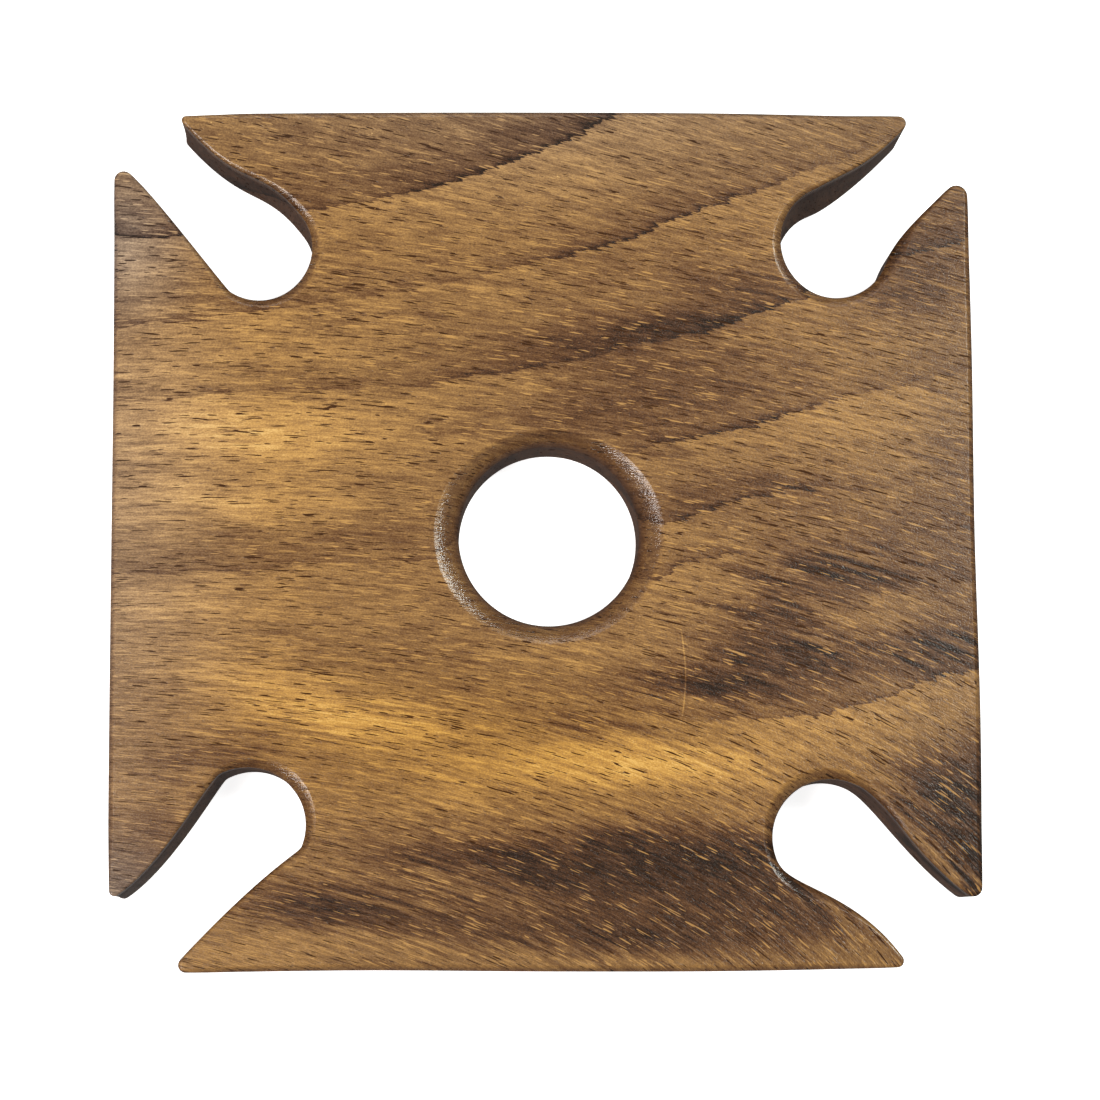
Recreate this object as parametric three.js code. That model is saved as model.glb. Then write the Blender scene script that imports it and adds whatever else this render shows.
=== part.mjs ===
// Wine caddy cut from one board: the round hole drops over the neck of a bottle and
// the four corner slots carry stemmed glasses, which hang by their feet.
// Millimetres. X is the board's width, Y its depth and Z its thickness. The underside
// is at z = 0 and the middle of the board is at x = 0, y = 0.

import * as THREE from "three";

// ---- the board ----
const BOARD_WIDTH = 184; // along X
const BOARD_DEPTH = 184; // along Y
const BOARD_THICKNESS = 19;
const EDGE_TIP_ZONE = 16; // the stretch by each corner that the slots cut away
const EDGE_BEVEL = 1.3; // rounding of the outer top edges, seen from above
const FOOT_BEVEL = 0.9; // rounding of every edge of the underside
const ROUNDING_DEPTH = 0.9; // how deep a rounding goes, as a share of its width

// How far hand sanding has drawn each outer edge in from the true rectangle, at five
// places spread from one tip to the other, along +X or +Y.
const EDGE_DRAW_IN = {
  front: [0.35, 0.6, 0.15, 0, 0.55],
  back: [0.45, 0.1, 0, 0.15, 0.95],
  left: [0.35, 0.25, 0.25, 0.25, 0],
  right: [0.5, 0, 0.35, 0.1, 0.35],
};

// ---- the hole for the bottle's neck ----
const NECK_HOLE_DIAMETER = 38.5;
const NECK_HOLE_CENTRE = new THREE.Vector2(0.9, 0.1);
const NECK_RIM_SIDE = 5.4; // width of the rounded rim to the left and right
const NECK_RIM_FRONT = 4.4; // and to the front
const NECK_RIM_BACK = 3.2; // and to the back
const NECK_RIM_DEPTH = 4.6;

// ---- the four glass slots ----
// Every slot runs from a corner to a round eye, where the stem rests. Its two lips start
// at tips on the board's outer edges: the end lip on the front or back edge, the side
// lip on the left or right edge.
//   corner          which corner, as signs along X and Y
//   eye             centre, measured from the board's middle towards the corner, and radius
//   lip.fromCorner  distance from the board's corner to the sharp tip
//   lip.angle       angle between the outer edge and the lip, at the tip, in degrees
//   lip.nose        radius that rounds the tip
//   lip.meets       where the lip joins the eye, in degrees round it from the edge's own
//                   outward direction
//   lip.bend        how far the lip holds its direction at the tip and at the eye, as
//                   shares of its own length
//   rim             width of the top rounding at nine places, from the end tip to the
//                   middle of the eye and on to the side tip
//   foot            how far the lower half of the wall stands out into the slot, at the
//                   same nine places
const SLOTS = {
  frontLeft: {
    corner: [-1, -1],
    eye: { x: 62.5, y: 61.2, radius: 12 },
    end: { fromCorner: 13.1, angle: 47, nose: 1.6, meets: 158, bend: [0.74, 0.04] },
    side: { fromCorner: 14.5, angle: 56, nose: 1.5, meets: 151, bend: [0.36, 0.05] },
    rim: [0.7, 0.8, 1.2, 1.8, 2.8, 1.2, 0.7, 0.4, 0.4],
    foot: [0, 0, 0, 0, 0, 0.3, 0.6, 0.5, 0.4],
  },
  frontRight: {
    corner: [1, -1],
    eye: { x: 59.8, y: 64.4, radius: 12.2 },
    end: { fromCorner: 16, angle: 54, nose: 1.4, meets: 156, bend: [0.53, 0.18] },
    side: { fromCorner: 13.3, angle: 53, nose: 1.9, meets: 149, bend: [0.41, 0.18] },
    rim: [0.5, 1.2, 2.6, 1.8, 2.9, 1.8, 1.2, 0.5, 0.8],
    foot: [0, 0, 0, 0, 0, 0.3, 0.5, 0, 0],
  },
  backRight: {
    corner: [1, 1],
    eye: { x: 63.2, y: 62.6, radius: 11.2 },
    end: { fromCorner: 11.3, angle: 47, nose: 1.6, meets: 110, bend: [0.45, 0.15] },
    side: { fromCorner: 13, angle: 47, nose: 2.4, meets: 115, bend: [0.77, 0.21] },
    rim: [0.4, 0.6, 0.8, 1, 2.6, 2.2, 3.2, 1.6, 0.9],
    foot: [0, 0.4, 1.8, 2, 0, 0, 0, 0, 0],
  },
  backLeft: {
    corner: [-1, 1],
    eye: { x: 61, y: 61.7, radius: 10.9 },
    end: { fromCorner: 11.8, angle: 48, nose: 1.5, meets: 143, bend: [0.6, 0.45] },
    side: { fromCorner: 10.9, angle: 50, nose: 2, meets: 146, bend: [0.19, 0.04] },
    rim: [0.6, 0.8, 0.9, 1.7, 2.2, 1.6, 1.1, 0.8, 0.7],
    foot: [0.6, 0.3, 0.6, 0.8, 0, 0, 0, 0, 0],
  },
};

// ---- how finely curves are stepped ----
const EDGE_STEPS = 12;
const NOSE_STEPS = 4;
const LIP_STEPS = 10;
const EYE_STEPS = 20;
const HOLE_STEPS = 48;
const TOP_ROUNDING_STEPS = 3;
const FOOT_ROUNDING_STEPS = 2;

const degrees = THREE.MathUtils.degToRad;

// A smooth curve through evenly spaced values, read at u from 0 to 1.
function along(values, u) {
  const last = values.length - 1;
  const place = THREE.MathUtils.clamp(u, 0, 1) * last;
  const i = Math.min(Math.floor(place), last - 1);
  const before = values[i - 1] ?? 2 * values[i] - values[i + 1];
  const after = values[i + 2] ?? 2 * values[i + 1] - values[i];
  const curve = new THREE.SplineCurve([
    new THREE.Vector2(0, before),
    new THREE.Vector2(1, values[i]),
    new THREE.Vector2(2, values[i + 1]),
    new THREE.Vector2(3, after),
  ]);
  return curve.getPoint((1 + place - i) / 3).y;
}

// The point of an outer edge at a distance from the board's middle along that edge.
function edgePoint(edge, distance) {
  const lengthwise = edge === "front" || edge === "back";
  const half = (lengthwise ? BOARD_DEPTH : BOARD_WIDTH) / 2;
  const reach = (lengthwise ? BOARD_WIDTH : BOARD_DEPTH) / 2 - EDGE_TIP_ZONE;
  const out = half - along(EDGE_DRAW_IN[edge], 0.5 + distance / (2 * reach));
  if (edge === "front") return new THREE.Vector2(distance, -out);
  if (edge === "back") return new THREE.Vector2(distance, out);
  return new THREE.Vector2(edge === "left" ? -out : out, distance);
}

// One lip, in a frame whose +X runs along the outer edge to the corner and whose +Y
// points out of the board. It gives the rounded tip and the curve from there to the eye.
function lipCurve(lip, tip, eye) {
  const angle = degrees(lip.angle);
  const inward = new THREE.Vector2(-Math.cos(angle), -Math.sin(angle));
  const tangentLength = lip.nose / Math.tan(angle / 2);
  const noseCentre = new THREE.Vector2(tip.x - tangentLength, tip.y - lip.nose);
  const nose = [];
  for (let i = 0; i < NOSE_STEPS; i++) {
    const turn = Math.PI / 2 - ((Math.PI - angle) * i) / NOSE_STEPS;
    const spoke = new THREE.Vector2(Math.cos(turn), Math.sin(turn));
    nose.push(noseCentre.clone().addScaledVector(spoke, lip.nose));
  }

  const start = tip.clone().addScaledVector(inward, tangentLength);
  const meets = degrees(lip.meets);
  const spoke = new THREE.Vector2(Math.cos(meets), Math.sin(meets));
  const end = new THREE.Vector2(eye.x, eye.y).addScaledVector(spoke, eye.radius);
  const outOfEye = new THREE.Vector2(spoke.y, -spoke.x);
  const length = start.distanceTo(end);
  const curve = new THREE.CubicBezierCurve(
    start,
    start.clone().addScaledVector(inward, lip.bend[0] * length),
    end.clone().addScaledVector(outOfEye, lip.bend[1] * length),
    end,
  );
  return { nose, line: curve.getPoints(LIP_STEPS) };
}

// A slot's outline from its end tip round the eye to its side tip. Every point keeps
// its station, 0 to 1, which the rim and foot tables are read at.
function slotOutline(slot) {
  const [signX, signY] = slot.corner;
  const mirror = (p) => new THREE.Vector2(p.x * signX, p.y * signY);
  const swap = (p) => new THREE.Vector2(p.y, p.x);
  const { eye } = slot;
  const eyeFromSide = { x: eye.y, y: eye.x, radius: eye.radius };

  const endAt = BOARD_WIDTH / 2 - slot.end.fromCorner;
  const sideAt = BOARD_DEPTH / 2 - slot.side.fromCorner;
  const endTip = mirror(edgePoint(signY < 0 ? "front" : "back", signX * endAt));
  const sideTip = mirror(edgePoint(signX < 0 ? "left" : "right", signY * sideAt));
  const end = lipCurve(slot.end, endTip, eye);
  const side = lipCurve(slot.side, swap(sideTip), eyeFromSide);

  const outline = [];
  const add = (p, station) => outline.push({ point: mirror(p), station });
  end.nose.forEach((p) => add(p, 0));
  end.line.forEach((p, i) => add(p, ((3 / 8) * i) / LIP_STEPS));
  const from = degrees(slot.end.meets);
  const sweep = 2 * Math.PI + degrees(90 - slot.side.meets) - from;
  for (let i = 1; i < EYE_STEPS; i++) {
    const turn = from + (sweep * i) / EYE_STEPS;
    const spoke = new THREE.Vector2(Math.cos(turn), Math.sin(turn));
    const p = new THREE.Vector2(eye.x, eye.y).addScaledVector(spoke, eye.radius);
    add(p, 3 / 8 + ((2 / 8) * i) / EYE_STEPS);
  }
  side.line.reverse().forEach((p, i) => add(swap(p), 5 / 8 + ((3 / 8) * i) / LIP_STEPS));
  side.nose.reverse().forEach((p) => add(swap(p), 1));
  return outline.map(({ point, station }) => ({
    point,
    rim: along(slot.rim, station),
    foot: Math.max(0, along(slot.foot, station)),
  }));
}

// The points of an outer edge between two slots, without the tips themselves.
function edgeOutline(edge, from, to) {
  const line = [];
  for (let i = 1; i < EDGE_STEPS; i++) {
    const distance = THREE.MathUtils.lerp(from, to, i / EDGE_STEPS);
    line.push({ point: edgePoint(edge, distance), rim: EDGE_BEVEL, foot: 0 });
  }
  return line;
}

// The board's whole outline at the foot of its walls, counter-clockwise from above.
function boardOutline() {
  const frontLeft = slotOutline(SLOTS.frontLeft).reverse();
  const frontRight = slotOutline(SLOTS.frontRight);
  const backRight = slotOutline(SLOTS.backRight).reverse();
  const backLeft = slotOutline(SLOTS.backLeft);
  const first = (line) => line[0].point;
  const last = (line) => line[line.length - 1].point;
  return [
    ...edgeOutline("front", last(frontLeft).x, first(frontRight).x),
    ...frontRight,
    ...edgeOutline("right", last(frontRight).y, first(backRight).y),
    ...backRight,
    ...edgeOutline("back", last(backRight).x, first(backLeft).x),
    ...backLeft,
    ...edgeOutline("left", last(backLeft).y, first(frontLeft).y),
    ...frontLeft,
  ];
}

// Adds to each outline point the direction that leads out of the wood.
function withOutwardDirections(outline) {
  return outline.map((here, i) => {
    const next = outline[(i + 1) % outline.length].point;
    const previous = outline[(i + outline.length - 1) % outline.length].point;
    const forward = next.clone().sub(previous).normalize();
    return { ...here, outward: new THREE.Vector2(forward.y, -forward.x) };
  });
}

// The loops of a wall from the top face to the underside. The upper half stands back
// by the foot's width, and quarter ellipses round the edges at the top and bottom.
function wallLoops(outline, rimDepth) {
  const loop = (height, inset) =>
    outline.map((p) => {
      const at = p.point.clone().addScaledVector(p.outward, -inset(p));
      return new THREE.Vector3(at.x, at.y, height(p));
    });
  const loops = [];
  for (let i = 0; i <= TOP_ROUNDING_STEPS; i++) {
    const turn = (Math.PI / 2) * (i / TOP_ROUNDING_STEPS);
    const height = (p) => BOARD_THICKNESS - rimDepth(p) * (1 - Math.cos(turn));
    loops.push(loop(height, (p) => p.foot + p.rim * (1 - Math.sin(turn))));
  }
  loops.push(loop(() => BOARD_THICKNESS / 2, (p) => 0.85 * p.foot));
  for (let i = 0; i <= FOOT_ROUNDING_STEPS; i++) {
    const turn = (Math.PI / 2) * (i / FOOT_ROUNDING_STEPS);
    const height = () => FOOT_BEVEL * (1 - Math.sin(turn));
    loops.push(loop(height, () => FOOT_BEVEL * (1 - Math.cos(turn))));
  }
  return loops;
}

// The neck hole's outline, clockwise from above, so that its wall faces the hole.
function holeOutline() {
  const outline = [];
  for (let i = 0; i < HOLE_STEPS; i++) {
    const turn = (-2 * Math.PI * i) / HOLE_STEPS;
    const spoke = new THREE.Vector2(Math.cos(turn), Math.sin(turn));
    const point = NECK_HOLE_CENTRE.clone().addScaledVector(spoke, NECK_HOLE_DIAMETER / 2);
    const rimAcross = spoke.y < 0 ? NECK_RIM_FRONT : NECK_RIM_BACK;
    const rim = NECK_RIM_SIDE * spoke.x ** 2 + rimAcross * spoke.y ** 2;
    outline.push({ point, rim, foot: 0, outward: spoke.negate() });
  }
  return outline;
}

// The board's geometry: the outer wall, the hole's wall and the two flat faces.
function boardGeometry() {
  const outer = withOutwardDirections(boardOutline());
  const outerLoops = wallLoops(outer, (p) => ROUNDING_DEPTH * p.rim);
  const holeLoops = wallLoops(holeOutline(), () => NECK_RIM_DEPTH);
  const positions = [];
  const face = (a, b, c) => positions.push(...a.toArray(), ...b.toArray(), ...c.toArray());

  for (const loops of [outerLoops, holeLoops]) {
    for (let level = 0; level < loops.length - 1; level++) {
      const upper = loops[level];
      const lower = loops[level + 1];
      for (let i = 0; i < upper.length; i++) {
        const j = (i + 1) % upper.length;
        face(lower[i], lower[j], upper[j]);
        face(lower[i], upper[j], upper[i]);
      }
    }
  }

  const cap = (level, facesUp) => {
    const rim = outerLoops.at(level);
    const hole = holeLoops.at(level);
    const flat = (loop) => loop.map((p) => new THREE.Vector2(p.x, p.y));
    const corners = [...rim, ...hole];
    for (const [a, b, c] of THREE.ShapeUtils.triangulateShape(flat(rim), [flat(hole)])) {
      if (facesUp) face(corners[a], corners[b], corners[c]);
      else face(corners[c], corners[b], corners[a]);
    }
  };
  cap(0, true);
  cap(-1, false);

  const geometry = new THREE.BufferGeometry();
  geometry.setAttribute("position", new THREE.Float32BufferAttribute(positions, 3));
  geometry.computeVertexNormals();
  return geometry;
}

// Oiled figured hardwood, warm brown with a soft sheen.
const oiledHardwood = new THREE.MeshStandardMaterial({
  name: "oiled_hardwood",
  color: 0x8f6e4a,
  roughness: 0.45,
  metalness: 0,
});

const caddy = new THREE.Group();
caddy.name = "wine_caddy";
const board = new THREE.Mesh(boardGeometry(), oiledHardwood);
board.name = "caddy_board";
caddy.add(board);

export default caddy;
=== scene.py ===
"""Looks for the wine caddy board: a finely stepped copy of the CAD solid in oiled hardwood,
on a bright table under three soft boxes.

Distances in the modelling part are metres. The wood's own numbers are millimetres on the
board: x to the right, y to the back and z up from the underside.
"""

import math

import bpy
import numpy as np
from mathutils import Matrix, Vector
from mathutils.geometry import delaunay_2d_cdt


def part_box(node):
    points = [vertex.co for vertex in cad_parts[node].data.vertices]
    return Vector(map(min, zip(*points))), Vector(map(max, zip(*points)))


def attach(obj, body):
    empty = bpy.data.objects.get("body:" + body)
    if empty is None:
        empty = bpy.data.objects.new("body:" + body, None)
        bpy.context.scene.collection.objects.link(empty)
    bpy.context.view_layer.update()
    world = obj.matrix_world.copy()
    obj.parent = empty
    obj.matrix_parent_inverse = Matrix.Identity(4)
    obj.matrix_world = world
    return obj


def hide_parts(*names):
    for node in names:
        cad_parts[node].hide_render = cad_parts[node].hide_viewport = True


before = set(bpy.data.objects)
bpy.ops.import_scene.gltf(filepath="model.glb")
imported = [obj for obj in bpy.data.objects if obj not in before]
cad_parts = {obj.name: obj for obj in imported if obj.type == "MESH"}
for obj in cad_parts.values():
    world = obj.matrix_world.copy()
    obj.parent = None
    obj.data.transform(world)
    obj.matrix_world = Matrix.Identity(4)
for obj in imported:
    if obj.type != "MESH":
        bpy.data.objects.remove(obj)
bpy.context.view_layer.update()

MM = 0.001
MICRON = 1e-6
BOARD = "caddy_board"
low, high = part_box(BOARD)
THICKNESS = high.z - low.z
HALF_WIDTH = (high.x - low.x) / 2

# ---- how finely the board is stepped ----
OUTLINE_STATIONS = 2000
HOLE_STATIONS = 320
ROUNDING_ROWS = 9
WALL_ROWS = 6
FOOT_ROWS = 4
CAP_SPACING = 2.6 * MM  # between the points inside the flat faces
CAP_CLEARANCE = 0.9 * MM  # how far those points stay from the faces' outlines
FOOT_HEIGHT = 0.9 * MM  # where the rounding of the underside starts
WALL_SWELL = 2.7  # how late the wall's swelling comes in below the top rounding
ROUNDING_SHARE = 0.9  # depth of the top rounding of the outline, as a share of its width
HOLE_ROUNDING_DEPTH = 4.6 * MM
ROUNDING_POWER = 1.45  # 1 is a quarter of an ellipse and 2 a straight chamfer
EVENED_STATIONS = 4  # over how many stations the widths along a wall are evened out
INSIDE_ONLY = 2  # what delaunay_2d_cdt gives back: the triangles inside the outline
SAME_POINT = 1e-9  # it takes points closer than this for one
LOOP_CHUNKS = 20  # parts that distances to a loop are worked out in, to save memory


# ---------------------------------------------------------------- the board's shape


def edge_loops(height):
    """The closed outlines that the CAD board's edges draw at one height, longest first."""
    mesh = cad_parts[BOARD].data
    keys = [tuple(round(c / MICRON) for c in v.co) for v in mesh.vertices]
    level = round(height / MICRON)
    flat_sides = {}
    for face in mesh.polygons:
        corners = [keys[i] for i in face.vertices]
        flat = all(abs(corner[2] - level) <= 1 for corner in corners)
        for a, b in zip(corners, corners[1:] + corners[:1]):
            if abs(a[2] - level) <= 1 and abs(b[2] - level) <= 1 and a != b:
                edge = (min(a, b), max(a, b))
                flat_sides[edge] = flat_sides.get(edge, 0) + flat
    beside = {}
    for (a, b), count in flat_sides.items():
        if count < 2:
            beside.setdefault(a, []).append(b)
            beside.setdefault(b, []).append(a)
    loops = []
    left = set(beside)
    while left:
        start = min(left)
        walk = [start]
        left.discard(start)
        step = beside[start][0]
        while step != start:
            walk.append(step)
            left.discard(step)
            step = next(p for p in beside[step] if p != walk[-2])
        loops.append(np.array(walk, float)[:, :2] * MICRON)
    return sorted(loops, key=lambda loop: -perimeter(loop))


def perimeter(loop):
    return np.linalg.norm(np.roll(loop, -1, 0) - loop, axis=1).sum()


def signed_area(loop):
    ahead = np.roll(loop, -1, 0)
    return (loop[:, 0] * ahead[:, 1] - loop[:, 1] * ahead[:, 0]).sum() / 2


def lined_up(loop, outer):
    """The loop anticlockwise, from a station that is easy to find again on every level."""
    if signed_area(loop) < 0:
        loop = loop[::-1]
    if outer:  # the middle of the front edge
        start = np.argmin(np.where(loop[:, 1] < low.y / 2, abs(loop[:, 0]), 1))
    else:  # the hole's rightmost point
        spoke = loop - loop.mean(0)
        start = np.argmin(abs(np.arctan2(spoke[:, 1], spoke[:, 0])))
    return np.roll(loop, -start, 0)


def unit(vectors):
    return vectors / np.linalg.norm(vectors, axis=-1, keepdims=True)


def reached_after(steps):
    """How far along a line each of its points is, from the steps between them."""
    return np.concatenate([[0], np.cumsum(steps)])


def smooth_loop(loop, count):
    """Evenly spaced points on a smooth closed curve through the loop's points, and the
    place of each as (which point it follows, how far on to the next)."""
    ahead = np.roll(loop, -1, 0)
    heading = unit(ahead - np.roll(loop, 1, 0))
    chord = np.linalg.norm(ahead - loop, axis=1)
    reached = reached_after(chord)
    along = np.arange(count) / count * reached[-1]
    i = np.searchsorted(reached, along, side="right") - 1
    j = (i + 1) % len(loop)
    u = ((along - reached[i]) / chord[i])[:, None]
    swing = chord[i][:, None]
    points = (
        (2 * u**3 - 3 * u**2 + 1) * loop[i]
        + (u**3 - 2 * u**2 + u) * swing * heading[i]
        + (3 * u**2 - 2 * u**3) * loop[j]
        + (u**3 - u**2) * swing * heading[j]
    )
    return points, (i, j, u[:, 0])


def softened(values, width):
    """Values round a loop, evened out over a width given in stations."""
    waves = np.fft.rfftfreq(len(values))
    kept = np.exp(-2 * (np.pi * waves * width) ** 2)
    return np.fft.irfft(np.fft.rfft(values) * kept, len(values))


def wall_stations(outer, count):
    """The wall's plan: its widest outline, the direction into the wood, the width of its
    top rounding, and how far its upper part stands back from its foot."""
    which = 0 if outer else 1
    crest = lined_up(edge_loops(high.z)[which], outer)
    middle = lined_up(edge_loops(THICKNESS / 2)[which], outer)
    widest = lined_up(edge_loops(FOOT_HEIGHT)[which], outer)
    middle_share = 1 - ((high.z - THICKNESS / 2) / (high.z - FOOT_HEIGHT)) ** WALL_SWELL
    swell = np.linalg.norm(middle - widest, axis=1) / middle_share
    rounding = np.linalg.norm(crest - widest, axis=1) - swell

    line, (i, j, u) = smooth_loop(widest, count)
    swell = softened(swell[i] * (1 - u) + swell[j] * u, EVENED_STATIONS)
    rounding = softened(rounding[i] * (1 - u) + rounding[j] * u, EVENED_STATIONS)
    heading = unit(np.roll(line, -1, 0) - np.roll(line, 1, 0))
    inward = np.stack([-heading[:, 1], heading[:, 0]], 1)
    return line, inward if outer else -inward, rounding, swell


def wall_rows(outer, count):
    """The wall as rows of points from the crest down to the underside."""
    line, inward, rounding, swell = wall_stations(outer, count)
    depth = ROUNDING_SHARE * rounding if outer else np.full(count, HOLE_ROUNDING_DEPTH)
    rows = []
    for k in range(ROUNDING_ROWS + 1):
        turn = math.pi / 2 * k / ROUNDING_ROWS
        inset = swell + rounding * (1 - math.sin(turn) ** ROUNDING_POWER)
        rows.append((inset, high.z - depth * (1 - math.cos(turn) ** ROUNDING_POWER)))
    for k in range(1, WALL_ROWS + 1):
        z = high.z - depth + (FOOT_HEIGHT - high.z + depth) * k / WALL_ROWS
        share = (high.z - depth - z) / (high.z - depth - FOOT_HEIGHT)
        rows.append((swell * (1 - share**WALL_SWELL), z))
    for k in range(1, FOOT_ROWS + 1):
        turn = math.pi / 2 * k / FOOT_ROWS
        inset = np.full(count, FOOT_HEIGHT * (1 - math.cos(turn)))
        rows.append((inset, np.full(count, FOOT_HEIGHT * (1 - math.sin(turn)))))
    points = [np.column_stack([line + inward * inset[:, None], z]) for inset, z in rows]
    return np.array(points)


def row_normals(rows, outer):
    """The direction each point of a wall faces."""
    around = np.roll(rows, -1, 1) - np.roll(rows, 1, 1)
    down = np.gradient(rows, axis=0)
    facing = unit(np.cross(down, around))
    if not outer:
        facing = -facing
    facing[0] = (0, 0, 1)
    facing[-1] = (0, 0, -1)
    return facing


def inside(points, loop):
    """Which points lie inside a closed loop."""
    hits = np.zeros(len(points), bool)
    for a, b in zip(loop, np.roll(loop, -1, 0)):
        crosses = (a[1] > points[:, 1]) != (b[1] > points[:, 1])
        if crosses.any():
            reach = a[0] + (points[:, 1] - a[1]) / (b[1] - a[1]) * (b[0] - a[0])
            hits ^= crosses & (points[:, 0] < reach)
    return hits


def clear_of(points, loop, gap):
    """Which points lie further than a gap from a loop's points."""
    nearest = np.full(len(points), np.inf)
    for chunk in np.array_split(loop, LOOP_CHUNKS):
        away = np.linalg.norm(points[:, None] - chunk[None], axis=2)
        nearest = np.minimum(nearest, away.min(1))
    return nearest > gap


def flat_face(outline, hole):
    """Triangles that fill a flat face between its outline and its hole, with extra points
    inside it. Gives the extra points, and triangles that count outline, hole, extra."""
    steps = int(HALF_WIDTH / CAP_SPACING)
    ticks = np.arange(-steps, steps + 1) * CAP_SPACING
    spots = np.stack(np.meshgrid(ticks, ticks), -1).reshape(-1, 2)
    spots = spots[inside(spots, outline) & ~inside(spots, hole)]
    spots = spots[clear_of(spots, outline, CAP_CLEARANCE) & clear_of(spots, hole, CAP_CLEARANCE)]
    n, m = len(outline), len(hole)
    everything = np.concatenate([outline, hole, spots])
    rim = [(i, (i + 1) % n) for i in range(n)]
    bore = [(n + (i + 1) % m, n + i) for i in range(m)]
    corners = [Vector(p) for p in everything]
    found = delaunay_2d_cdt(corners, rim + bore, [], INSIDE_ONLY, SAME_POINT)
    source = [origins[0] for origins in found[3]]
    triangles = [tuple(source[i] for i in face) for face in found[2]]
    middles = np.array([everything[list(triangle)].mean(0) for triangle in triangles])
    kept = np.flatnonzero(~inside(middles, hole))
    return spots, [triangles[i] for i in kept]


class Surface:
    """The points of a surface with the way each faces, and its faces with the places of
    their corners on the map."""

    def __init__(self):
        self.points, self.normals, self.faces, self.places = [], [], [], []

    def add_points(self, points, normals):
        """Adds points and gives their numbers."""
        first = len(self.points)
        self.points.extend(points)
        self.normals.extend(normals)
        return range(first, len(self.points))

    def add_wall(self, numbers, rows, outer):
        height, count = rows.shape[:2]
        wall_map = WallMap(rows, outer)
        for j in range(count):
            for i in range(height - 1):
                ring = [(i, j), (i, j + 1), (i + 1, j + 1), (i + 1, j)]
                if outer:
                    ring = ring[::-1]
                self.faces.append([numbers[r * count + c % count] for r, c in ring])
                self.places.append([wall_map.corner(r, c, j) for r, c in ring])

    def add_flat_face(self, rims, top):
        """Adds the top face or the underside, whose rims are rows of points by their
        numbers: the outline's and the hole's."""
        outline, hole = ([self.points[i][:2] for i in rim] for rim in rims)
        outline, hole = np.array(outline), np.array(hole)
        spots, triangles = flat_face(outline, hole)
        raised = np.column_stack([spots, np.full(len(spots), high.z if top else low.z)])
        added = self.add_points(raised, [(0, 0, 1 if top else -1)] * len(spots))
        numbers = [*rims[0], *rims[1], *added]
        plan = np.concatenate([outline, hole, spots])
        for triangle in triangles:
            a, b, c = (plan[i] for i in triangle)
            turned = (b - a)[0] * (c - a)[1] - (b - a)[1] * (c - a)[0] > 0
            ring = triangle if turned == top else triangle[::-1]
            self.faces.append([numbers[i] for i in ring])
            self.places.append([face_corner(plan[i], top) for i in ring])

    def mesh(self, name):
        mesh = bpy.data.meshes.new(name)
        mesh.from_pydata([tuple(p) for p in self.points], [], self.faces)
        mesh.polygons.foreach_set("use_smooth", [True] * len(self.faces))
        layer = mesh.uv_layers.new(name="OFBake")
        layer.data.foreach_set("uv", [c for face in self.places for uv in face for c in uv])
        mesh.normals_split_custom_set_from_vertices([tuple(n) for n in self.normals])
        mesh.validate()
        return mesh


def build_board():
    surface = Surface()
    walls = []
    for outer, count in ((True, OUTLINE_STATIONS), (False, HOLE_STATIONS)):
        rows = wall_rows(outer, count)
        facing = row_normals(rows, outer)
        numbers = surface.add_points(rows.reshape(-1, 3), facing.reshape(-1, 3))
        walls.append((numbers, rows, outer))
    for wall in walls:
        surface.add_wall(*wall)
    crests = [numbers[: rows.shape[1]] for numbers, rows, outer in walls]
    feet = [numbers[-rows.shape[1] :] for numbers, rows, outer in walls]
    surface.add_flat_face(crests, top=True)
    surface.add_flat_face(feet, top=False)
    board = bpy.data.objects.new("board_surface", surface.mesh("board_surface"))
    bpy.context.scene.collection.objects.link(board)
    return board


# ---- the map that the board's pattern is stored through: the top face takes the most room,
# the underside the lower right corner, and the walls run in strips below and beside them ----
MAP_TOP = 0.70  # share of the map's side that the top face takes
MAP_UNDER = 0.25  # and that the underside takes
MAP_GAP = 0.008
STRIP_TALL = 0.05
OUTLINE_STRIPS = 4
HOLE_STRIP_GAP = 0.02  # on each side of the hole's strip
MAP_SAMPLE_STEP = 40  # stations between those where a wall's height is measured


def face_corner(point, top):
    across = point / (2 * HALF_WIDTH) + 0.5
    if top:
        return MAP_GAP + across[0] * MAP_TOP, 1 - MAP_GAP - (1 - across[1]) * MAP_TOP
    left = 1 - MAP_GAP - MAP_UNDER
    return left + across[0] * MAP_UNDER, MAP_GAP + across[1] * MAP_UNDER


class WallMap:
    """Lays a wall out in strips."""

    def __init__(self, rows, outer):
        line = rows[-FOOT_ROWS - 1]
        closed = np.vstack([line, line[:1]])
        self.around = reached_after(np.linalg.norm(np.diff(closed, axis=0), axis=1))
        sampled = rows[:, ::MAP_SAMPLE_STEP]
        self.down = reached_after(np.linalg.norm(np.diff(sampled, axis=0), axis=2).mean(1))
        self.count = len(line)
        if outer:
            self.left = MAP_GAP
            self.top = 1 - MAP_TOP - 3 * MAP_GAP
            self.strips = OUTLINE_STRIPS
            self.wide = MAP_TOP
        else:
            self.left = MAP_GAP + MAP_TOP + HOLE_STRIP_GAP
            self.top = 1 - MAP_GAP
            self.strips = 1
            self.wide = 1 - MAP_TOP - 2 * HOLE_STRIP_GAP

    def corner(self, row, column, face):
        """Where a point of the wall lies on the map, as a corner of the given face."""
        share = self.count // self.strips
        strip = min(face // share, self.strips - 1)
        first = strip * share
        last = self.count if strip == self.strips - 1 else first + share
        begin, end = self.around[first], self.around[last]
        stretch = (self.around[column] - begin) / (end - begin)
        fall = self.down[row] / self.down[-1]
        top = self.top - strip * (STRIP_TALL + MAP_GAP)
        return self.left + stretch * self.wide, top - fall * STRIP_TALL


# ---------------------------------------------------------------- the wood

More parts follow.
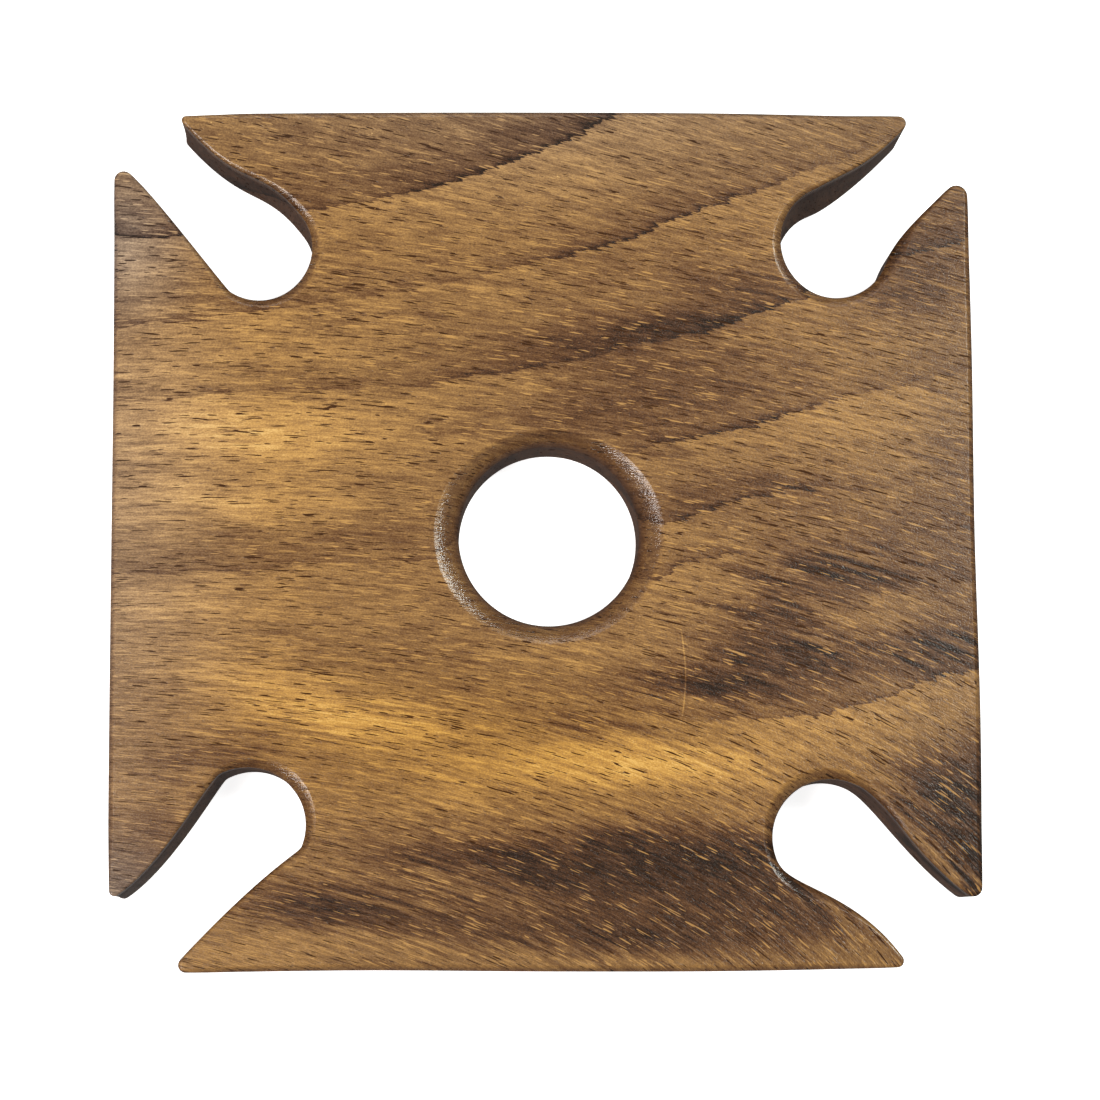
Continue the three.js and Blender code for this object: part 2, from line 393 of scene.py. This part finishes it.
# The grain drifts down to the right, more steeply towards the front and the right. A
# point's place across the grain is y + x * slope, where the slope is
# DRIFT + DRIFT_X * x + DRIFT_Y * y + DRIFT_YY * y * y.
DRIFT, DRIFT_X, DRIFT_Y, DRIFT_YY = 0.15, 0.0009, -0.0012, 0.00003
ALONG_Y = -0.2  # how much of y is taken into the place along the grain
GRAIN_DEPTH = 5  # how many times its width a feature of the grain is deep
SHIFT_ACROSS, SHIFT_DOWN = 1.7, 0.6  # a noise's shift across and down, for 1 along
RING_TILT = 0.8  # how far the growth rings lean forward with depth

# Growth rings, from back to front. line: (x, y) where each crosses the top face.
# Just above the line the wood is darker by dark times RING_CONTRAST, fading over
# dark_width, and below it lighter by light, fading over light_width.
# seen: (x, strength) along the line.
RINGS = [
    dict(
        line=[
            (-92, 64), (-78, 64.2), (-50, 69.5), (-30, 74), (-20, 76), (-8, 80.5), (8, 87),
            (20, 94), (92, 130),
        ],
        seen=[
            (-92, 1), (-70, 0.8), (-45, 0.5), (-30, 0.7), (-16, 1), (10, 1), (30, 0.4),
            (92, 0),
        ],
        dark=34,
        dark_width=6,
        light=10,
        light_width=12,
    ),
    dict(
        line=[
            (-92, 44.5), (-70, 47), (-48, 50), (-25, 53.5), (0, 59), (15, 63), (30, 69),
            (45, 74), (60, 80), (75, 86), (92, 94),
        ],
        seen=[
            (-92, 0.5), (-70, 0.6), (-50, 0.5), (-35, 0.3), (-10, 0.4), (5, 0.8), (20, 1),
            (45, 0.8), (60, 0.4), (92, 0.2),
        ],
        dark=30,
        dark_width=5,
        light=12,
        light_width=7,
    ),
    dict(
        line=[
            (-92, 29), (-75, 30), (-45, 31), (-20, 33), (0, 36.5), (25, 42), (40, 45.5),
            (50, 49), (62, 53), (75, 59), (92, 64.5),
        ],
        seen=[
            (-92, 0.4), (-60, 0.5), (-40, 0.4), (-10, 0.7), (10, 0.4), (30, 0.7), (50, 1),
            (75, 0.8), (92, 0.8),
        ],
        dark=24,
        dark_width=3.5,
        light=14,
        light_width=12,
    ),
    dict(
        line=[(-92, 12), (0, 15), (30, 20.5), (50, 25), (60, 28.5), (75, 31.5), (92, 35)],
        seen=[(-92, 0), (10, 0), (28, 0.9), (50, 1), (62, 0.5), (92, 0.3)],
        dark=28,
        dark_width=6,
        light=8,
        light_width=8,
    ),
    dict(
        line=[
            (-92, -9), (-70, -7.5), (-50, -6), (-28, -4.8), (0, -1), (25, 2.5), (35, 5),
            (50, 9), (70, 10), (92, 13),
        ],
        seen=[
            (-92, 0.5), (-60, 0.5), (-30, 0.4), (0, 0.5), (25, 0.9), (50, 0.9), (65, 0.3),
            (92, 0.1),
        ],
        dark=22,
        dark_width=6,
        light=12,
        light_width=8,
    ),
    dict(
        line=[(-92, -20), (20, -11), (31, -6), (46, -3.4), (92, 2)],
        seen=[(-92, 0), (15, 0), (26, 0.9), (35, 0.7), (50, 0.4), (60, 0), (92, 0)],
        dark=22,
        dark_width=4,
        light=12,
        light_width=6,
    ),
    dict(
        line=[
            (-92, -28), (-20, -33), (0, -38), (20, -38.5), (40, -40), (55, -38.5),
            (70, -35.5), (80, -31.5), (92, -29.5),
        ],
        seen=[(-92, 0.1), (-10, 0.1), (20, 0.2), (40, 0.7), (60, 0.9), (92, 0.9)],
        dark=18,
        dark_width=8,
        light=16,
        light_width=9,
    ),
]

# Soft lighter and darker stretches:
# (x, y, half length, half width, slope of its length in degrees, change in brightness)
STRETCHES = [
    # golden wood behind the hole
    (-70, 92, 18, 8, 0, 14),
    (32, 90, 50, 9, 3, 8),
    (8, 78, 24, 8, 18, 12),
    (-30, 71, 26, 6, 10, 6),
    (-48, 60, 8, 14, 0, 12),
    (-86, 56, 12, 8, 0, 10),
    (-32, 72, 12, 5, 8, 16),
    # golden wood to the left
    (-79, 48, 14, 6, 0, 26),
    (-80, 34, 18, 7, 0, 24),
    (-62, 40, 44, 8, 0, 14),
    (-66, 47, 26, 6, 4, 8),
    (-62, 22, 48, 13, -3, 48),
    (-68, 7, 42, 8, -4, 44),
    (-86, 0, 16, 6, 0, 18),
    (-76, -15, 32, 7, 0, 26),
    (-72, -24, 36, 5, -3, 12),
    # golden wood to the right
    (74, 26, 32, 10, 5, 18),
    (50, 12, 14, 6, 0, 20),
    (72, 13, 24, 6, 5, 8),
    # the golden band in front of the hole
    (4, -25, 18, 5, 0, 12),
    (-5, -24, 12, 4, 0, 16),
    (-62, -30, 32, 6, -6, 36),
    (-42, -39, 38, 7, -8, 54),
    (-24, -47, 32, 6, -8, 14),
    (22, -48, 44, 7, -6, 50),
    (0, -51, 42, 6, -3, 32),
    (-20, -56, 16, 5, -5, 20),
    (58, -41, 26, 7, 3, 14),
    # golden wood along the front edge
    (-62, -88, 38, 7, 0, 12),
    (-25, -89, 32, 5, 0, 2),
    (30, -90, 40, 4, 0, 8),
    # dark wood behind the hole
    (-35, 78, 42, 8, 5, -12),
    (-2, 88, 20, 4, 8, -16),
    (14, 90, 10, 2.5, 8, -25),
    (20, 59, 36, 9, 12, -22),
    (40, 54, 26, 7, 5, -36),
    (28, 45, 42, 6, 8, -26),
    (14, 41, 54, 13, 5, -32),
    (30, 33, 38, 10, 5, -34),
    (80, 56, 20, 16, 0, -46),
    (88, 72, 12, 14, 0, -34),
    (6, 25, 38, 8, 0, -34),
    (68, 47, 18, 5, 5, -12),
    # dark smears level with the hole and in front of it
    (12, -40, 16, 5, -5, -34),
    (-37, 1, 20, 6, -5, -14),
    (48, 8, 38, 10, 0, -28),
    (28, 17, 12, 5, 0, -22),
    (66, 0, 36, 7, 3, -22),
    (60, -8, 26, 7, -3, -74),
    (79, -9, 14, 5, 0, -26),
    (92, 5, 24, 60, 0, -22),
    (48, -16, 20, 6, -5, -56),
    (54, -25, 30, 8, -8, -66),
    (84, -24, 16, 7, -8, -60),
    (37, -32, 32, 7, -4, -62),
    (-22, -25, 28, 6, -3, -12),
    # dark wood to the front
    (88, -58, 20, 22, -15, -78),
    (90, -74, 14, 14, 0, -66),
    (-82, -64, 18, 12, 0, -24),
    (-90, -73, 14, 10, 0, -26),
    (-72, -47, 18, 6, -5, -34),
    (-8, -69, 46, 9, -4, -64),
    (13, -64, 16, 5, -5, -40),
    (36, -69, 38, 11, -6, -76),
    (22, -78, 54, 9, -5, -50),
    (-48, -77, 26, 8, -5, -38),
    (-32, -79, 36, 7, -6, -38),
    (16, -85, 62, 7, -3, -50),
    (54, -80, 16, 8, -20, -44),
]
# Where the colour is weaker (or stronger, if negative), in the form of STRETCHES. Along the edges
# the weaker colour is painted sheen; the stronger colour in front of the hole is the wood's own.
SHEEN_AND_SATURATION = [
    (-10, -45, 110, 28, -4, -0.07),
    (-92, 66, 26, 28, 0, 0.28),
    (-92, -78, 24, 22, 0, 0.3),
    (-112, 0, 60, 130, 0, 0.25),
    (0, 110, 130, 50, 0, 0.2),
]

# Noises stretched along the grain: (length, width, detail, roughness, shift)
TEETH = (11, 1.1, 3, 0.6, 3.1)  # of the growth rings' lines
SWAY = (40, 9, 1, 0.5, 8.2)
WANDER = (24, 1.3, 3, 0.65, 5.5)  # of the stretches' edges
STREAKS = (9, 1.0, 2, 0.6, 0.4)
FIBRES = (3.2, 0.30, 2, 0.6, 7.7)
WEAVE = (0.4, 0.25, 1, 0.5, 2.9)
CROWDING = (18, 4, 1, 0.5, 6.3)  # where the dashes lie closer together
LONG_DASHES = (5.6, 0.42, 1, 0.4, 4.4)
SHORT_DASHES = (3.4, 0.3, 0, 0.5, 9.1)

# How strong they are
TEETH_REACH, SWAY_REACH = 2.6, 1.2
WANDER_ALONG, WANDER_ACROSS = 28, 6
STREAK_CONTRAST, FIBRE_CONTRAST, WEAVE_CONTRAST = 44, 34, 34
CROWDING_REACH = 0.16

# The growth rings' lines
RING_CONTRAST = 1.2
RING_EDGE = 0.2  # half the width over which dark turns to light
RING_LINE = 0.6  # width of the thin dark line that ends each ring
RING_LINE_DARK = 1.6  # how dark it is, as a share of the ring's own dark

# Dashes start and are full where their noise passes these two limits.
LONG_PORES, SHORT_PORES = (0.42, 0.50), (0.44, 0.52)
LONG_FLECKS, SHORT_FLECKS = (0.42, 0.51), (0.47, 0.56)
PORE_COVER, FLECK_COVER = 0.95, 0.85  # how fully they hide the wood around them
WALL_DASH_LOSS = 0.7  # how much of that is gone on the walls

# Depths below the top face between which the roundings' and the walls' looks come in
RIM_DEPTHS = (0.02, 0.6)
WALL_DEPTHS = (1.6, 5.0)
FOOT_HEIGHTS = (0, 0.6)  # and the heights between which they come in above the underside
# The roundings and walls are painted darker: painted shade, and on the walls partly their darker
# end grain.
SHADE_SCALE, SHADE_FLOOR = 0.5, 2  # in full shade the brightness is scaled, and this added
RIM_SHADE, WALL_SHADE = 0.36, 0.64

# Wear
SCRATCH = [(-40, 28.2), (-35, 29.2), (-30, 29.5), (-25, 29.2), (-19, 28.4)]  # (y, x)
SCRATCH_HALF_WIDTH = 0.3
SCRATCH_FADE = 3  # length of its faint ends
SCRATCH_STRENGTH = 0.6
CHIP_SCALE = 1.1  # chips to a millimetre, before the limits thin them out
CHIPPED = (-45, 78, 80, 60, 0, 0.1)  # where chips are more common, as in STRETCHES
CHIP_LIMITS = (0.84, 0.9)
WEAR_BRIGHTNESS = 60
TOP_SKIN = 1  # wear goes this deep

# The board is darker towards its sides, and towards its front and back.
SIDES_MIDDLE = -22
SIDES_AWAY, SIDES_SHADE = (70, 114), 0.114
ENDS_AWAY, ENDS_SHADE = (62, 94), 0.09

BASE_BRIGHTNESS = 111
PORE_BRIGHTNESS = 48
FLECK_BRIGHTNESS = 156
TOP_BRIGHTNESS = 200  # the end of the colour ramp

# The oiled surface
ROUGHNESS, RIM_POLISH, WALL_ROUGHNESS, FIBRE_ROUGHNESS = 0.25, 0.07, 0.37, 0.003
GLOSS, RIM_GLOSS, PORE_GLOSS_LOSS = 0.5, 0.5, 0.45
RELIEF_STRENGTH = 0.55
RELIEF_DEPTH = 0.08 * MM
FIBRE_RELIEF, WEAVE_RELIEF, RIM_RELIEF, PORE_RELIEF = 0.012, 0.016, 0.03, 0.9

# The wood's colour at each brightness: (brightness, red, green, blue), all 0 to 255
WOOD_COLOURS = [
    (34, 38, 23, 12),
    (63, 79, 50, 29),
    (86, 107, 73, 43),
    (102, 125, 90, 54),
    (118, 144, 106, 62),
    (132, 161, 120, 70),
    (144, 176, 132, 76),
    (161, 197, 150, 84),
    (184, 222, 178, 108),
]


def linear(value):
    """A 0 to 255 screen value as the light that it stands for."""
    value /= 255
    return value / 12.92 if value < 0.04045 else ((value + 0.055) / 1.055) ** 2.4


def colour(red, green, blue):
    return linear(red), linear(green), linear(blue), 1


class Field:
    """A number that varies over a surface. Sums and products of fields make the nodes."""

    def __init__(self, tree, socket):
        self.tree = tree
        self.socket = socket

    def math(self, operation, *others):
        node = self.tree.nodes.new("ShaderNodeMath")
        node.operation = operation
        for entry, value in zip(node.inputs, (self, *others)):
            if isinstance(value, Field):
                self.tree.links.new(value.socket, entry)
            else:
                entry.default_value = value
        return Field(self.tree, node.outputs[0])

    def __add__(self, other):
        return self.math("ADD", other)

    def __sub__(self, other):
        return self.math("SUBTRACT", other)

    def __rsub__(self, other):
        return self.math("MULTIPLY_ADD", -1, other)

    def __neg__(self):
        return self.math("MULTIPLY", -1)

    def __mul__(self, other):
        return self.math("MULTIPLY", other)

    def __truediv__(self, other):
        return self.math("DIVIDE", other)

    def __abs__(self):
        return self.math("ABSOLUTE")

    def at_least(self, other):
        return self.math("MAXIMUM", other)

    def at_most(self, other):
        return self.math("MINIMUM", other)

    def exp(self):
        return self.math("EXPONENT")

    def toward(self, target, share):
        """This field where share is 0 and the target where it is 1."""
        return self + (target - self) * share

    def step(self, start, end):
        """0 below start and 1 above end, smoothly in between."""
        node = self.tree.nodes.new("ShaderNodeMapRange")
        node.interpolation_type = "SMOOTHSTEP"
        self.tree.links.new(self.socket, node.inputs["Value"])
        node.inputs["From Min"].default_value = start
        node.inputs["From Max"].default_value = end
        return Field(self.tree, node.outputs["Result"])

    def curve(self, points):
        """A smooth curve through (this field's value, result) points."""
        ins, outs = [p[0] for p in points], [p[1] for p in points]
        floor, span = min(outs), max(outs) - min(outs)
        node = self.tree.nodes.new("ShaderNodeFloatCurve")
        line = node.mapping.curves[0]
        while len(line.points) > 2:
            line.points.remove(line.points[1])
        places = [((a - ins[0]) / (ins[-1] - ins[0]), (b - floor) / span) for a, b in points]
        line.points[0].location = places[0]
        line.points[1].location = places[-1]
        for place in places[1:-1]:
            line.points.new(*place)
        node.mapping.update()
        share = (self - ins[0]) / (ins[-1] - ins[0])
        self.tree.links.new(share.socket, node.inputs["Value"])
        return Field(self.tree, node.outputs[0]) * span + floor


class Wood:
    """The parts that a wood material is made from, in one node tree."""

    def __init__(self, tree):
        self.tree = tree
        place = tree.nodes.new("ShaderNodeTexCoord").outputs["Object"]
        scaled = tree.nodes.new("ShaderNodeVectorMath")
        scaled.operation = "SCALE"
        scaled.inputs["Scale"].default_value = 1 / MM
        tree.links.new(place, scaled.inputs[0])
        split = tree.nodes.new("ShaderNodeSeparateXYZ")
        tree.links.new(scaled.outputs[0], split.inputs[0])
        self.x, self.y, self.z = (Field(tree, out) for out in split.outputs)
        self.plan = self.vector(self.x, self.y, 0.0)
        self.depth = self.z - THICKNESS / MM
        slope = self.y * self.y * DRIFT_YY + self.y * DRIFT_Y + self.x * DRIFT_X + DRIFT
        self.across = self.y + self.x * slope
        self.along = self.x + self.y * ALONG_Y

    def vector(self, x, y, z):
        node = self.tree.nodes.new("ShaderNodeCombineXYZ")
        for entry, value in zip(node.inputs, (x, y, z)):
            if isinstance(value, Field):
                self.tree.links.new(value.socket, entry)
            else:
                entry.default_value = value
        return node.outputs[0]

    def grain(self, length, width, shift):
        """Grain coordinates in which a feature that long and wide is one unit each way."""
        return self.vector(
            self.along / length + shift,
            self.across / width + shift * SHIFT_ACROSS,
            self.depth / (GRAIN_DEPTH * width) + shift * SHIFT_DOWN,
        )

    def noise(self, length, width, detail, roughness, shift):
        """Noise from -1 to 1, stretched along the grain."""
        node = self.tree.nodes.new("ShaderNodeTexNoise")
        node.inputs["Scale"].default_value = 1
        node.inputs["Detail"].default_value = detail
        node.inputs["Roughness"].default_value = roughness
        self.tree.links.new(self.grain(length, width, shift), node.inputs["Vector"])
        return Field(self.tree, node.outputs[0]) * 2 - 1

    def stretch(self, total, shifted, x, y, half_length, half_width, slope, change):
        """Adds one soft stretch of darker or lighter wood to the total."""
        node = self.tree.nodes.new("ShaderNodeMapping")
        node.vector_type = "TEXTURE"
        node.inputs["Location"].default_value = (x, y, 0)
        node.inputs["Rotation"].default_value = (0, 0, math.radians(slope))
        node.inputs["Scale"].default_value = (half_length, half_width, 1)
        self.tree.links.new(shifted, node.inputs["Vector"])
        fall = self.tree.nodes.new("ShaderNodeTexGradient")
        fall.gradient_type = "SPHERICAL"
        self.tree.links.new(node.outputs[0], fall.inputs[0])
        share = Field(self.tree, fall.outputs[1]).step(0, 1)
        return share.math("MULTIPLY_ADD", change, total)


def ring_brightness(wood):
    """What the growth rings add to the wood's brightness."""
    teeth = wood.noise(*TEETH) * TEETH_REACH + wood.noise(*SWAY) * SWAY_REACH
    height = wood.y + wood.depth * RING_TILT + teeth
    total = None
    for ring in RINGS:
        above = height - wood.x.curve(ring["line"])
        edge = above.step(-RING_EDGE, RING_EDGE)
        beyond = above.at_least(0)
        line = (beyond / -RING_LINE).exp() * RING_LINE_DARK
        shade = (beyond / -ring["dark_width"]).exp() + line
        dark = shade * edge * (-RING_CONTRAST * ring["dark"])
        light = (above.at_most(0) / ring["light_width"]).exp() * (1 - edge) * ring["light"]
        share = (dark + light) * wood.x.curve(ring["seen"])
        total = share if total is None else total + share
    return total


def broad_brightness(wood):
    """The wood's brightness without its fine grain. The stretches' edges break up along
    the grain."""
    wander = wood.noise(*WANDER)
    place = wood.vector(
        wood.x + wander * WANDER_ALONG,
        wood.y + wood.depth * RING_TILT + wander * WANDER_ACROSS,
        0.0,
    )
    brightness = ring_brightness(wood) + BASE_BRIGHTNESS
    for row in STRETCHES:
        brightness = wood.stretch(brightness, place, *row)
    return brightness


def dashes(wood):
    """Fields that are 1 on the open pores, which are dark dashes, and on the filled ones,
    which are pale and show up in dark wood."""
    crowding = wood.noise(*CROWDING) * CROWDING_REACH
    long = wood.noise(*LONG_DASHES)
    short = wood.noise(*SHORT_DASHES)
    pores = (crowding - long).step(*LONG_PORES).at_least((crowding - short).step(*SHORT_PORES))
    flecks = (long - crowding).step(*LONG_FLECKS).at_least((short - crowding).step(*SHORT_FLECKS))
    return pores, flecks


def wear(wood):
    """How worn the top face is: one fine curved scratch, and a few chips at the back left."""
    off = abs(wood.x - wood.y.curve(SCRATCH))
    front, back = SCRATCH[0][0], SCRATCH[-1][0]
    length = (wood.y - front).step(0, SCRATCH_FADE) * (back - wood.y).step(0, SCRATCH_FADE)
    scratch = (SCRATCH_HALF_WIDTH - off).step(0, SCRATCH_HALF_WIDTH) * length
    grit = wood.tree.nodes.new("ShaderNodeTexNoise")
    grit.inputs["Scale"].default_value = CHIP_SCALE
    grit.inputs["Detail"].default_value = 1
    wood.tree.links.new(wood.vector(wood.x, wood.y, wood.z), grit.inputs["Vector"])
    crowd = wood.stretch(Field(wood.tree, grit.outputs[0]), wood.plan, *CHIPPED)
    chips = crowd.step(*CHIP_LIMITS)
    on_top = (wood.depth + TOP_SKIN).step(0, TOP_SKIN)
    return (scratch * SCRATCH_STRENGTH + chips) * on_top


def tinted(wood, paint):
    """The paint, darker towards the board's edges and weaker in colour in places; along the edges
    that weaker colour is painted sheen.
    """
    shade = abs(wood.x - SIDES_MIDDLE).step(*SIDES_AWAY) * SIDES_SHADE
    shade = shade + abs(wood.y).step(*ENDS_AWAY) * ENDS_SHADE
    sheen_and_saturation = 0.0
    # weaker colour along the edges is painted sheen
    for row in SHEEN_AND_SATURATION:
        sheen_and_saturation = wood.stretch(sheen_and_saturation, wood.plan, *row)
    node = wood.tree.nodes.new("ShaderNodeHueSaturation")
    wood.tree.links.new(paint, node.inputs["Color"])
    wood.tree.links.new((1 - sheen_and_saturation).socket, node.inputs["Saturation"])
    wood.tree.links.new((1 - shade).socket, node.inputs["Value"])
    return node.outputs[0]


def wood_paint(wood, tone):
    """The wood's colour for its brightness, tinted."""
    ramp = wood.tree.nodes.new("ShaderNodeValToRGB")
    stops = ramp.color_ramp.elements
    while len(stops) < len(WOOD_COLOURS):
        stops.new(0.5)
    for stop, (level, *rgb) in zip(stops, WOOD_COLOURS):
        stop.position = level / TOP_BRIGHTNESS
        stop.color = colour(*rgb)
    wood.tree.links.new((tone / TOP_BRIGHTNESS).socket, ramp.inputs[0])
    return tinted(wood, ramp.outputs[0])


def wood_relief(wood, height):
    bump = wood.tree.nodes.new("ShaderNodeBump")
    bump.inputs["Strength"].default_value = RELIEF_STRENGTH
    bump.inputs["Distance"].default_value = RELIEF_DEPTH
    wood.tree.links.new(height.socket, bump.inputs["Height"])
    return bump.outputs[0]


def oiled_hardwood():
    material = bpy.data.materials.new("oiled_hardwood")
    material.use_nodes = True
    tree = material.node_tree
    shader = tree.nodes["Principled BSDF"]
    wood = Wood(tree)
    fibres = wood.noise(*FIBRES) * FIBRE_CONTRAST
    weave = wood.noise(*WEAVE) * WEAVE_CONTRAST
    pores, flecks = dashes(wood)

    # The walls and their roundings are painted darker than the two flat faces: painted shade, and
    # on the walls partly their darker end grain.
    above_foot = wood.z.step(*FOOT_HEIGHTS)
    rims = (-wood.depth).step(*RIM_DEPTHS) * above_foot
    walls = (-wood.depth).step(*WALL_DEPTHS) * above_foot

    tone = broad_brightness(wood) + wood.noise(*STREAKS) * STREAK_CONTRAST + fibres + weave
    tone = tone.toward(PORE_BRIGHTNESS, pores * (PORE_COVER - walls * WALL_DASH_LOSS))
    tone = tone.toward(FLECK_BRIGHTNESS, flecks * (FLECK_COVER - walls * WALL_DASH_LOSS))
    shaded = tone * SHADE_SCALE + SHADE_FLOOR
    tone = tone.toward(shaded, rims * RIM_SHADE + walls * WALL_SHADE)
    tone = tone + wear(wood) * WEAR_BRIGHTNESS

    rough = fibres * FIBRE_ROUGHNESS - rims * RIM_POLISH + walls * WALL_ROUGHNESS + ROUGHNESS
    gloss = (rims - walls) * RIM_GLOSS - pores * PORE_GLOSS_LOSS + GLOSS
    grain = fibres * FIBRE_RELIEF + weave * ((rims - walls) * RIM_RELIEF + WEAVE_RELIEF)
    tree.links.new(wood_paint(wood, tone), shader.inputs["Base Color"])
    tree.links.new(rough.socket, shader.inputs["Roughness"])
    tree.links.new(gloss.socket, shader.inputs["Specular IOR Level"])
    tree.links.new(wood_relief(wood, grain - pores * PORE_RELIEF), shader.inputs["Normal"])
    return material


# ---------------------------------------------------------------- the table and the light

TABLE_SIZE = 40.0
TABLE_GAP = 0.05 * MM  # between it and the board
TABLE_PAINT = (0.9, 0.9, 0.9, 1)
TABLE_ROUGHNESS = 0.6
TABLE_GLOW = 0.85

WARM = (1.0, 0.94, 0.9)
COOL = (0.94, 1.0, 0.95)
WHITE = (1.0, 1.0, 1.0)
# Boxes of light that face the middle of the table: (name, place, width, height, watts, colour)
SOFT_BOXES = [
    ("left_box", (-0.78, -0.42, 1.0), 0.22, 0.9, 13.2, WARM),
    ("right_box", (0.78, 0.42, 1.0), 0.22, 0.9, 13.2, COOL),
    ("back_box", (-0.1, 1.1, 0.9), 0.9, 0.5, 4, WHITE),
]
ROOM_LIGHT = (0.94, 0.97, 1.0, 1)
ROOM_STRENGTH = 0.15


def table_material():
    material = bpy.data.materials.new("pale_table")
    material.use_nodes = True
    shader = material.node_tree.nodes["Principled BSDF"]
    shader.inputs["Base Color"].default_value = TABLE_PAINT
    shader.inputs["Roughness"].default_value = TABLE_ROUGHNESS
    shader.inputs["Emission Color"].default_value = (*WHITE, 1)
    shader.inputs["Emission Strength"].default_value = TABLE_GLOW
    return material


def build_table():
    half = TABLE_SIZE / 2
    mesh = bpy.data.meshes.new("table")
    corners = [(-half, -half, 0), (half, -half, 0), (half, half, 0), (-half, half, 0)]
    mesh.from_pydata(corners, [], [(0, 1, 2, 3)])
    mesh.materials.append(table_material())
    table = bpy.data.objects.new("table", mesh)
    table.location.z = low.z - TABLE_GAP
    table.visible_glossy = False  # its glow would hide the walls' own colour
    bpy.context.scene.collection.objects.link(table)


def soft_box(name, place, width, height, watts, tint):
    light = bpy.data.lights.new(name, "AREA")
    light.color = tint
    light.shape = "RECTANGLE"
    light.size, light.size_y = width, height
    light.energy = watts
    lamp = bpy.data.objects.new(name, light)
    lamp.location = place
    lamp.rotation_euler = (-Vector(place)).to_track_quat("-Z", "Y").to_euler()
    bpy.context.scene.collection.objects.link(lamp)


def build_light():
    world = bpy.data.worlds.new("room")
    bpy.context.scene.world = world
    world.use_nodes = True
    background = world.node_tree.nodes["Background"]
    background.inputs["Color"].default_value = ROOM_LIGHT
    background.inputs["Strength"].default_value = ROOM_STRENGTH
    for row in SOFT_BOXES:
        soft_box(*row)


# ---- the camera, as it looked at the board: in millimetres in the board's frame ----
CAMERA_AT = (-15.62, -81.13, 655.17)
CAMERA_AIM = (1.03, -3.37, 19.0)
CAMERA_ROLL = math.radians(-0.319)
CAMERA_LENS = 99.05
CAMERA_SENSOR = 36
CAMERA_SEES = (0.02, 60)  # metres


def build_camera():
    data = bpy.data.cameras.new("camera")
    data.lens = CAMERA_LENS
    data.sensor_width = CAMERA_SENSOR
    data.clip_start, data.clip_end = CAMERA_SEES
    camera = bpy.data.objects.new("camera", data)
    place, aim = Vector(CAMERA_AT) * MM, Vector(CAMERA_AIM) * MM
    ahead = (aim - place).normalized()
    right = ahead.cross(Vector((0, 1, 0))).normalized()
    up = right.cross(ahead)
    turned_right = right * math.cos(CAMERA_ROLL) + up * math.sin(CAMERA_ROLL)
    turned_up = up * math.cos(CAMERA_ROLL) - right * math.sin(CAMERA_ROLL)
    turn = Matrix((turned_right, turned_up, -ahead)).transposed()
    camera.matrix_world = Matrix.Translation(place) @ turn.to_4x4()
    bpy.context.scene.collection.objects.link(camera)
    bpy.context.scene.camera = camera


board = build_board()
board.data.materials.append(oiled_hardwood())
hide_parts(BOARD)
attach(board, "root")
build_table()
build_light()
build_camera()
bpy.context.scene.view_settings.view_transform = "Standard"
